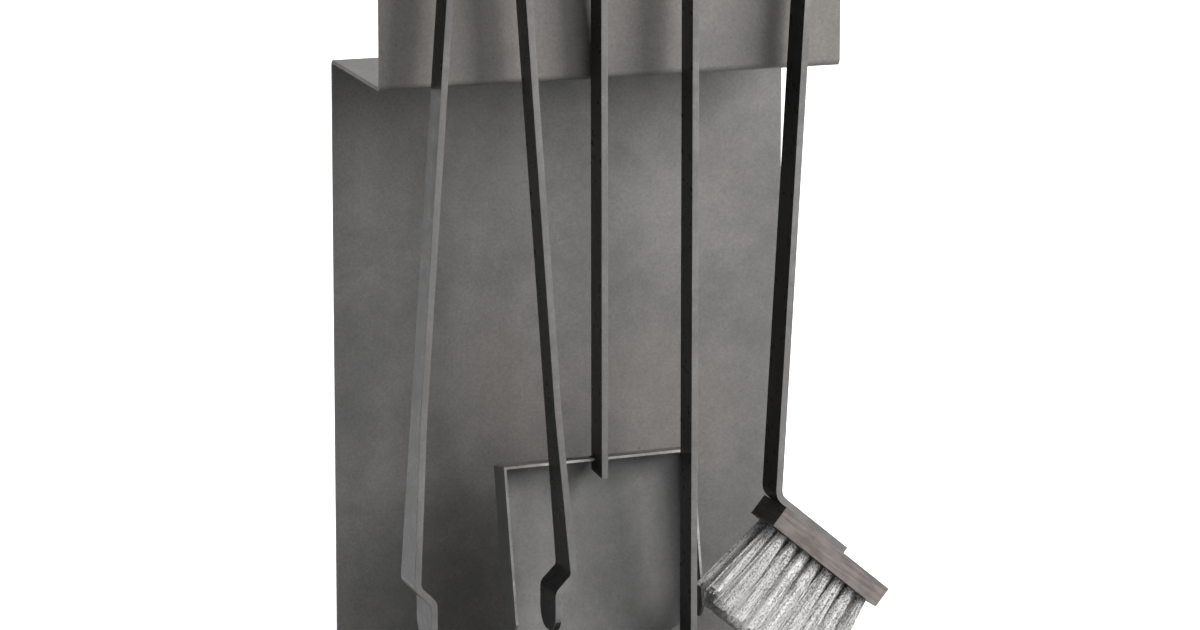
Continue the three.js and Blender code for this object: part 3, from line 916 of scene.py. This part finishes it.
@dataclass
class Brush:
    """The brush: bar, wooden block, screws and tufts.

    The tufts stand in rows, each shifted by the stagger, a share of the pitch. They lean apart towards the
    ends by the fan and, as a share of their place, towards the front and back by the splay. Past worn_from,
    a share of half the width, they get shorter.
    """

    columns: int = 8
    rows: int = 4
    pitch: float = 12.2 * MM
    row_pitch: float = 7.4 * MM
    stagger: float = 0.25
    tuft_radius: float = 3.7 * MM
    length: float = 75.5 * MM
    fan: float = 6 * MM
    splay: float = 0.25
    worn_from: float = 0.72
    worn: float = 40 * MM
    block_edge: float = 0.6 * MM
    screw_edge: float = 0.12 * MM
    head_depth: float = 0.2 * MM
    socket: float = 1.4 * MM
    strands: int = 130
    strand_width: float = 0.62 * MM
    seed: int = 7

    def build(self) -> None:
        """Makes every piece of the brush."""
        BentBar("brush_bent_bar", "brush_bar", "brush").build()
        block = frame_copy("brush_wood_block", "brush_block")
        self.lay_grain(block)
        # The end faces, and the rounded edges, get darker wood: partly end grain's own tone, partly painted
        # shade.
        dress(block, OILED_WOOD, END_GRAIN_AND_SHADE)
        along = self.axes()[1]
        for face in block.data.polygons:
            face.material_index = int(abs(face.normal.dot(along)) > MOSTLY)
        round_edges(block, self.block_edge)
        settle(block, "brush", Slot.WOOD, "brush_block")
        for number in (1, 2):
            node = f"brush_screw_{number}"
            screw = frame_copy(f"{node}_turned", node)
            self.cut_socket(screw)
            dress(screw, TURNED)
            round_edges(screw, self.screw_edge)
            settle(screw, "brush", Slot.FASTENER, node)
        self.tufts()

    def cut_socket(self, screw: bpy.types.Object) -> None:
        """Cuts a hexagonal socket into a screw's flat head."""
        down = self.axes()[3]
        points = [vertex.co.copy() for vertex in screw.data.vertices]
        head = min(point.dot(down) for point in points)
        rim = [point for point in points if point.dot(down) < head + self.head_depth]
        centre = sum(rim, Vector()) / len(rim)
        deselect_all()
        bpy.ops.mesh.primitive_cylinder_add(vertices=6, radius=self.socket, depth=2 * self.socket,
                                            location=centre,
                                            rotation=down.to_track_quat("Z", "Y").to_euler())
        tool = bpy.context.object
        apply_modifier(screw, "BOOLEAN", object=tool, operation="DIFFERENCE", solver="EXACT")
        bpy.data.objects.remove(tool)

    def axes(self) -> tuple[Vector, Vector, Vector, Vector]:
        """Finds the bristles' own frame from their solid.

        Returns:
            The middle of the face on the block, then along the block, to the front and to the tips.
        """
        level, digits = 0.5 * MM, 6
        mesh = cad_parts["brush_bristles"].data
        corners = {tuple(round(c, digits) for c in vertex.co) for vertex in mesh.vertices}
        points = [Vector(corner) for corner in sorted(corners)]
        faces = sorted(mesh.polygons, key=lambda face: face.area, reverse=True)
        front = next(face.normal.copy() for face in faces if abs(face.normal.y) > SAME_WAY)
        front = front if front.y < 0 else -front
        along = self.long_direction(mesh, front)
        along = along if along.x > 0 else -along
        down = along.cross(front)
        down = down if down.z < 0 else -down
        top = min(point.dot(down) for point in points)
        base = [point for point in points if point.dot(down) < top + level]
        centre = sum(base, Vector()) / len(base)
        return centre, along, front, down

    def long_direction(self, mesh: bpy.types.Mesh, front: Vector) -> Vector:
        """Finds the way along the block from the bristles' longest edge that runs its way.

        The edges and diagonals that run more towards the tips are steeper than the bounds allow, or shorter
        than that edge.

        Args:
            mesh: The bristles' solid.
            front: The way towards the front.

        Returns:
            The direction, as a unit vector.
        """
        square_to_front = 0.01
        shortest, longest = 70 * MM, 105 * MM
        least_slope, most_slope = 0.4, 0.75
        found = [span for span in spans_of(mesh)
                 if abs(span.normalized().dot(front)) < square_to_front and shortest < span.length < longest
                 and least_slope < abs(span.normalized().z) < most_slope]
        return max(found, key=lambda span: span.length).normalized()

    def lay_grain(self, block: bpy.types.Object) -> None:
        """Gives the block a UV map in metres, with U along its length."""
        centre, along, front, down = self.axes()
        layer = block.data.uv_layers.new(name="along")
        for face in block.data.polygons:
            across = front if abs(face.normal.dot(down)) > MOSTLY else down
            for loop in face.loop_indices:
                point = block.data.vertices[block.data.loops[loop].vertex_index].co - centre
                length = along if abs(face.normal.dot(along)) < MOSTLY else front
                layer.data[loop].uv = (point.dot(length), point.dot(across))

    def tufts(self) -> None:
        """Makes the tufts: a tapered core for each, with thin strands over and around it."""
        centre, along, front, down = self.axes()
        rng = random.Random(self.seed)
        strands = StrandMesh(along, front, down, rng)
        for row in range(self.rows):
            stagger = self.stagger if row % 2 else -self.stagger
            for column in range(self.columns):
                place = (column + stagger - (self.columns - 1) / 2) * self.pitch
                back = (row - (self.rows - 1) / 2) * self.row_pitch
                across = place / (self.pitch * self.columns / 2)
                lean = along * (across * self.fan) + front * (back * self.splay)
                root = centre + along * place + front * back
                length = self.length - max(0.0, abs(across) - self.worn_from) * self.worn
                strands.core(root, lean, length, self.tuft_radius)
                for _ in range(self.strands):
                    strands.strand(root, lean, length, self.tuft_radius, self.strand_width)
        tufts = strands.finish("brush_tufts")
        dress(tufts, SPLIT_BRISTLE)
        smooth(tufts, 80)
        settle(tufts, "brush", Slot.BRISTLE, "brush_bristles")


@dataclass
class StrandMesh:
    """Gathers cores and strands of bristle into one mesh, with a shade for each.

    A core's reach, root and spread and a strand's shortening are shares of the tuft's length or radius. A
    strand's taper is a share of its own width, and its wander and bow are in millimetres.
    """

    along: Vector
    front: Vector
    down: Vector
    rng: random.Random
    core_steps: int = 14
    core_sides: int = 10
    core_reach: float = 0.93
    core_root: float = 0.9
    core_spread: float = 0.72
    core_sway: float = 0.25 * MM
    strand_steps: int = 4
    strand_sides: int = 3
    strand_short: float = 0.06
    strand_taper: float = 0.4
    strand_wander: float = 1.3
    strand_bow: float = 0.6
    root_shade: float = 0.8
    shade_rise: float = 0.3
    vertices: list[Vector] = field(default_factory=list)
    faces: list[tuple[int, ...]] = field(default_factory=list)
    shades: list[float] = field(default_factory=list)

    def rod(self, points: list[Vector], radii: list[float], shades: list[float], sides: int,
            spin: float) -> None:
        """Adds a closed rod along a line of points.

        Args:
            points: The line.
            radii: The rod's radius at each point.
            shades: Its shade at each point.
            sides: Faces round it.
            spin: The angle of its first corner.
        """
        first = len(self.vertices)
        for point, radius, shade in zip(points, radii, shades):
            for corner in range(sides):
                angle = spin + corner * 2 * math.pi / sides
                self.vertices.append(point + self.sideways(math.cos(angle), math.sin(angle)) * radius)
                self.shades.append(min(1.0, max(0.0, shade)))
        for step in range(len(points) - 1):
            for corner in range(sides):
                a = first + step * sides + corner
                b = first + step * sides + (corner + 1) % sides
                self.faces.append((a, b, b + sides, a + sides))
        last = len(self.vertices) - sides
        self.faces.append(tuple(first + corner for corner in reversed(range(sides))))
        self.faces.append(tuple(last + corner for corner in range(sides)))

    def core(self, root: Vector, lean: Vector, length: float, radius: float) -> None:
        """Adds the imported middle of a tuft.

        Args:
            root: Where the tuft leaves the block.
            lean: How far its tip is to the side.
            length: Its length.
            radius: Its radius at the block.
        """
        points, radii, shades = [], [], []
        for step in range(self.core_steps + 1):
            share = step / self.core_steps
            sway = self.sideways(self.rng.gauss(0, self.core_sway), self.rng.gauss(0, self.core_sway))
            points.append(root + lean * share + self.down * (length * self.core_reach * share) + sway)
            spread = self.core_root + self.core_spread * share
            radii.append(radius * spread * self.rng.uniform(0.95, 1.05))
            shades.append(self.rng.uniform(0.7, 0.9))
        self.rod(points, radii, shades, self.core_sides, self.rng.uniform(0, 1))

    def strand(self, root: Vector, lean: Vector, length: float, radius: float, width: float) -> None:
        """Adds one strand near the outside of its tuft, bowed and tapered.

        Args:
            root: Where the tuft leaves the block.
            lean: How far the tuft's tip is to the side.
            length: The tuft's length.
            radius: The tuft's radius at the block.
            width: The strand's thickness.
        """
        rng = self.rng
        turn = rng.uniform(0, 2 * math.pi)
        side = self.sideways(math.cos(turn), math.sin(turn))
        start = root + side * (radius * rng.uniform(0.7, 1.0))
        wander = self.sideways(rng.gauss(0, self.strand_wander), rng.gauss(0, self.strand_wander)) * MM
        reach = length * (1.0 - self.strand_short * rng.random() ** 2)
        tip = start + lean + side * (radius * rng.uniform(0.55, 1.0)) + wander + self.down * reach
        bow = self.sideways(rng.gauss(0, self.strand_bow), rng.gauss(0, self.strand_bow)) * MM
        shade = rng.gauss(0.62, 0.3)
        shares = [step / self.strand_steps for step in range(self.strand_steps + 1)]
        points = [start.lerp(tip, share) + bow * (4 * share * (1 - share)) for share in shares]
        radii = [width / 2 * (1 - self.strand_taper * share) for share in shares]
        shades = [shade * (self.root_shade + self.shade_rise * share) for share in shares]
        self.rod(points, radii, shades, self.strand_sides, rng.uniform(0, 2 * math.pi))

    def sideways(self, along: float, front: float) -> Vector:
        """Gives a vector across the bristles from its two parts."""
        return self.along * along + self.front * front

    def finish(self, name: str) -> bpy.types.Object:
        """Makes the gathered mesh an object.

        Args:
            name: The object's name.

        Returns:
            The object.
        """
        mesh = bpy.data.meshes.new(name)
        mesh.from_pydata(self.vertices, [], self.faces)
        mesh.attributes.new("strand", "FLOAT", "POINT").data.foreach_set("value", self.shades)
        return add_object(name, mesh)


# ---------------------------------------------------------------- studio

@dataclass
class Studio:
    """The floor, the lights and the camera, in metres and degrees, with the lens in millimetres."""

    lens: float = 180.0
    eye: tuple[float, float, float] = (-1.341, -4.080, 1.242)
    pitch: float = 77.65
    yaw: float = -18.19
    sees_to: float = 200.0
    floor_radius: float = 30.0
    floor_sides: int = 96
    wall: float = 16.0
    cove: float = 6.0
    below_feet: float = 0.5 * MM
    ambient: float = 0.02

    def build(self) -> None:
        """Makes the floor, the lights and the camera."""
        self.floor()
        self.camera()
        self.area("key", place=(1.16, -1.12, 1.16), aim=(-0.05, 0.0, 0.50), size=(1.0, 1.0), power=38,
                  warmth=0.05)
        self.area("front_fill", place=(0.9, -3.6, 1.3), aim=(0.1, 0.0, 0.35), size=(1.6, 1.8), power=30)
        self.area("over_the_floor", place=(0.6, 2.6, 3.2), aim=(0.0, 0.3, 0.2), size=(5.0, 3.6),
                  power=115)
        world = bpy.data.worlds.new("studio")
        world.use_nodes = True
        background = world.node_tree.nodes["Background"]
        background.inputs["Color"].default_value = (1, 1, 1, 1)
        background.inputs["Strength"].default_value = self.ambient
        bpy.context.scene.world = world
        bpy.context.scene.view_settings.view_transform = "Standard"

    def floor(self) -> None:
        """Makes the plain pale floor, which curves up into a wall all round."""
        deselect_all()
        bpy.ops.mesh.primitive_cylinder_add(vertices=self.floor_sides, radius=self.floor_radius,
                                            depth=self.wall,
                                            location=(0, 0, self.wall / 2 - self.below_feet))
        floor = bpy.context.object
        floor.name = "floor"
        floor.data.vertices.foreach_set("select", [False] * len(floor.data.vertices))
        floor.data.edges.foreach_set("select", [False] * len(floor.data.edges))
        for face in floor.data.polygons:
            face.select = face.normal.z > SAME_WAY
        bpy.ops.object.mode_set(mode="EDIT")
        bpy.ops.mesh.select_mode(type="FACE")
        bpy.ops.mesh.delete(type="FACE")
        bpy.ops.object.mode_set(mode="OBJECT")
        apply_modifier(floor, "BEVEL", width=self.cove, segments=12, limit_method="ANGLE")
        make_active(floor)
        bpy.ops.object.transform_apply(location=True, rotation=True, scale=True)
        smooth(floor, 40)
        dress(floor, PALE_FLOOR)
        floor.visible_diffuse = False
        floor.visible_shadow = False

    def camera(self) -> None:
        """Makes the camera."""
        deselect_all()
        bpy.ops.object.camera_add(location=self.eye,
                                  rotation=(math.radians(self.pitch), 0.0, math.radians(self.yaw)))
        camera = bpy.context.object
        camera.name = "camera"
        camera.data.lens = self.lens
        camera.data.clip_end = self.sees_to
        bpy.context.scene.camera = camera

    def area(self, name: str, place: tuple[float, float, float], aim: tuple[float, float, float],
             size: tuple[float, float], power: float, warmth: float = 0.0) -> None:
        """Makes a soft rectangular light.

        Args:
            name: The light's name.
            place: Where it stands.
            aim: The point it faces.
            size: Its width and height.
            power: Its power in watts.
            warmth: How much blue it lacks, from 0 to 1.
        """
        deselect_all()
        bpy.ops.object.light_add(type="AREA", location=place)
        light = bpy.context.object
        light.name = name
        light.rotation_euler = (Vector(aim) - Vector(place)).to_track_quat("-Z", "Y").to_euler()
        light.data.shape = "RECTANGLE"
        light.data.size, light.data.size_y = size
        light.data.energy = power
        green_loss = 0.55 * warmth
        light.data.color = (1.0, 1.0 - green_loss, 1.0 - warmth)


def main() -> None:
    """Builds the studio and every sub-assembly."""
    logging.basicConfig(level=logging.INFO, format="%(message)s")
    Studio().build()
    for part in (Stand(), Tongs(), Shovel(), Poker(), Brush()):
        part.build()


if __name__ == "__main__":
    main()
